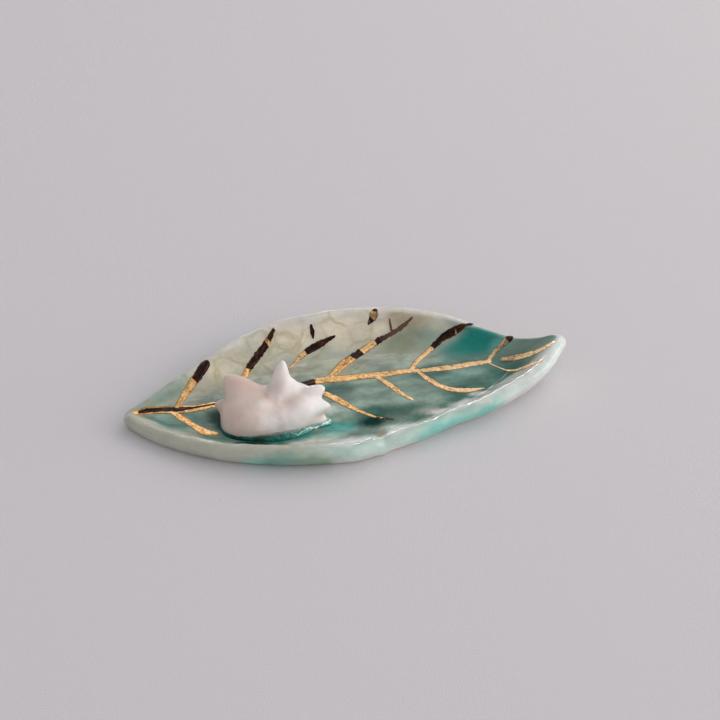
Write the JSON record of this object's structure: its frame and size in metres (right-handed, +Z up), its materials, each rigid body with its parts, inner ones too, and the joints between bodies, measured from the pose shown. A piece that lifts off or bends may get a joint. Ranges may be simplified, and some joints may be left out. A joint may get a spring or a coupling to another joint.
{
  "type": "ring dish",
  "caption": "Leaf-shaped ceramic ring dish with a turned-up tip, gold-painted veins, a glass-filled hollow and a small horned shell seated in it.",
  "frame": {"origin": "on the table, below the middle of the leaf's bounding box", "axes": "+X along the leaf from its low left tip to its turned-up right tip, +Y towards the high far rim, +Z up"},
  "size_m": [0.1, 0.0463, 0.0161],
  "materials": {
    "porcelain": "glossy crackle glaze, cream to teal",
    "pool_glass": "clear glossy teal glass melted into the hollow",
    "bead_glass": "deep teal glass bead with a glossy surface",
    "bisque": "matt unglazed porcelain, pinkish white",
    "gold": "fired gold lustre, slightly ragged"
  },
  "bodies": {
    "root": {"leaf_body": "porcelain", "glaze_pool": "pool_glass", "glass_bead": "bead_glass", "shell": "bisque", "midrib_left": "gold", "midrib_middle": "gold", "midrib_right": "gold", "midrib_tip": "gold", "far_vein_1": "gold", "far_vein_2": "gold", "far_vein_3": "gold", "far_vein_4": "gold", "far_vein_5": "gold", "far_vein_6": "gold", "far_twig": "gold", "near_vein_1": "gold", "near_vein_2": "gold", "near_vein_3": "gold", "near_vein_4": "gold", "near_vein_5": "gold", "gold_spots": "gold"}
  },
  "joints": []
}
